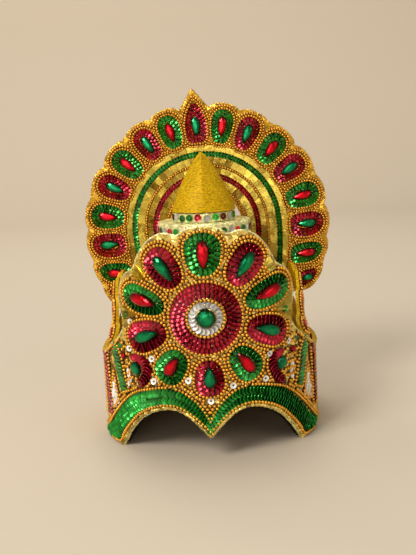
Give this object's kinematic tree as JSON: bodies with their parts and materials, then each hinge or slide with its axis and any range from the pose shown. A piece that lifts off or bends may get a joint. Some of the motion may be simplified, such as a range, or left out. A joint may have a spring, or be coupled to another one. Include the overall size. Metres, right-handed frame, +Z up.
{
  "type": "dance crown",
  "caption": "Dance crown of gold card with a beaded and sequinned rosette front, cloth dome, tiered cone top and a petalled halo behind.",
  "frame": {"origin": "centre of the head opening on the floor plane, under the middle of the crown", "axes": "+Z up through the cone's point, -Y out of the rosette front, +X to the right as seen from the front"},
  "size_m": [0.2112, 0.2086, 0.2726],
  "materials": {
    "gold_foil_card": "card faced with crinkled gold foil, beads and sequins",
    "gold_foil": "card wrapped in glossy gold foil",
    "gold_cloth": "woven metallic cloth, satin",
    "black_cloth": "matte black lining cloth",
    "red_stone": "polished faceted red stone",
    "green_stone": "polished faceted green stone"
  },
  "bodies": {
    "root": {"face_panel": "gold_foil_card", "back_band": "gold_cloth", "lining": "black_cloth", "dome": "gold_cloth", "drum": "gold_foil", "collar": "gold_foil", "cone_cap": "gold_cloth", "halo": "gold_foil_card", "wing_left": "gold_foil_card", "wing_right": "gold_foil_card", "rosette_stone_01": "red_stone", "rosette_stone_02": "green_stone", "rosette_stone_03": "red_stone", "rosette_stone_04": "green_stone", "rosette_stone_05": "red_stone", "rosette_stone_06": "green_stone", "rosette_stone_07": "red_stone", "rosette_stone_08": "green_stone", "rosette_stone_09": "red_stone", "rosette_stone_10": "green_stone", "centre_stone": "green_stone", "corner_stone_left": "green_stone", "corner_stone_right": "green_stone", "side_stone_left": "red_stone", "side_stone_right": "red_stone", "halo_stone_01": "green_stone", "halo_stone_02": "red_stone", "halo_stone_03": "red_stone", "halo_stone_04": "green_stone", "halo_stone_05": "green_stone", "halo_stone_06": "red_stone", "halo_stone_07": "red_stone", "halo_stone_08": "green_stone", "halo_stone_09": "green_stone", "halo_stone_10": "red_stone", "halo_stone_11": "red_stone", "halo_stone_12": "green_stone", "halo_stone_13": "green_stone", "halo_stone_14": "red_stone", "halo_stone_15": "red_stone", "halo_stone_16": "green_stone", "halo_stone_17": "green_stone"}
  },
  "joints": []
}
